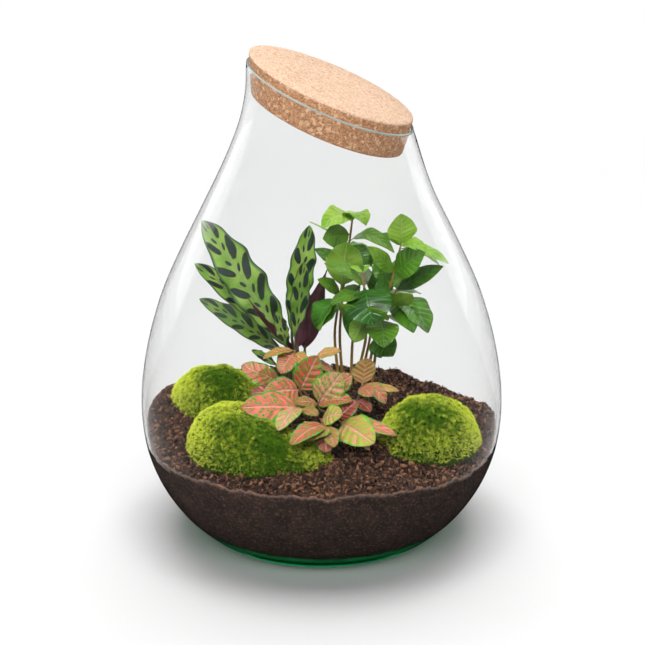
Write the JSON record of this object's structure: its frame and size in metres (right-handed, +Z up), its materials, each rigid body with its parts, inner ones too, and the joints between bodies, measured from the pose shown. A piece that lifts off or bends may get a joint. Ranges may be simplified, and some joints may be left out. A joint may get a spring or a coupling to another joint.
{
  "type": "plant terrarium",
  "caption": "Pear-shaped glass terrarium with a slanting mouth and a cork stopper, planted with calathea, coffee seedlings, nerve plant and moss in peat soil.",
  "frame": {"origin": "on the jar's axis in the plane of its base", "axes": "+Z up along the jar's axis, -Y towards the side that is looked at, the mouth slants down towards +X"},
  "size_m": [0.265, 0.265, 0.3596],
  "materials": {
    "glass": "clear and smooth, green at the thick base",
    "cork": "pressed cork granules, matt",
    "soil": "damp peat crumbs, matt",
    "moss": "cushion moss, matt",
    "calathea_leaf": "satin leaf with dark blotches, purple underneath",
    "coffee_leaf": "glossy leaf with sunk veins",
    "fittonia_leaf": "matt leaf, pink between a green net of veins"
  },
  "bodies": {
    "root": {"glass_jar": "glass", "cork_stopper": "cork", "soil": "soil", "moss_front_left": "moss", "moss_back_left": "moss", "moss_right": "moss", "calathea_leaf_big_left": "calathea_leaf", "calathea_leaf_mid_left": "calathea_leaf", "calathea_leaf_low_left": "calathea_leaf", "calathea_leaf_rolled": "calathea_leaf", "calathea_leaf_tall_centre": "calathea_leaf", "calathea_leaf_front_centre": "calathea_leaf", "calathea_leaf_turned_right": "calathea_leaf", "calathea_leaf_turned_small": "calathea_leaf", "calathea_leaf_small_front": "calathea_leaf", "calathea_leaf_low_small": "calathea_leaf", "calathea_leaf_back_left": "calathea_leaf", "calathea_leaf_back_centre": "calathea_leaf", "coffee_seedling_left": "coffee_leaf", "coffee_seedling_tall": "coffee_leaf", "coffee_seedling_back": "coffee_leaf", "coffee_seedling_front": "coffee_leaf", "coffee_seedling_back_right": "coffee_leaf", "coffee_seedling_right_tall": "coffee_leaf", "coffee_seedling_right_low": "coffee_leaf", "fittonia_stem_left_back": "fittonia_leaf", "fittonia_stem_back": "fittonia_leaf", "fittonia_stem_upright": "fittonia_leaf", "fittonia_stem_centre": "fittonia_leaf", "fittonia_stem_front_left": "fittonia_leaf", "fittonia_stem_front": "fittonia_leaf", "fittonia_stem_front_right": "fittonia_leaf", "fittonia_stem_right_back": "fittonia_leaf"}
  },
  "joints": []
}
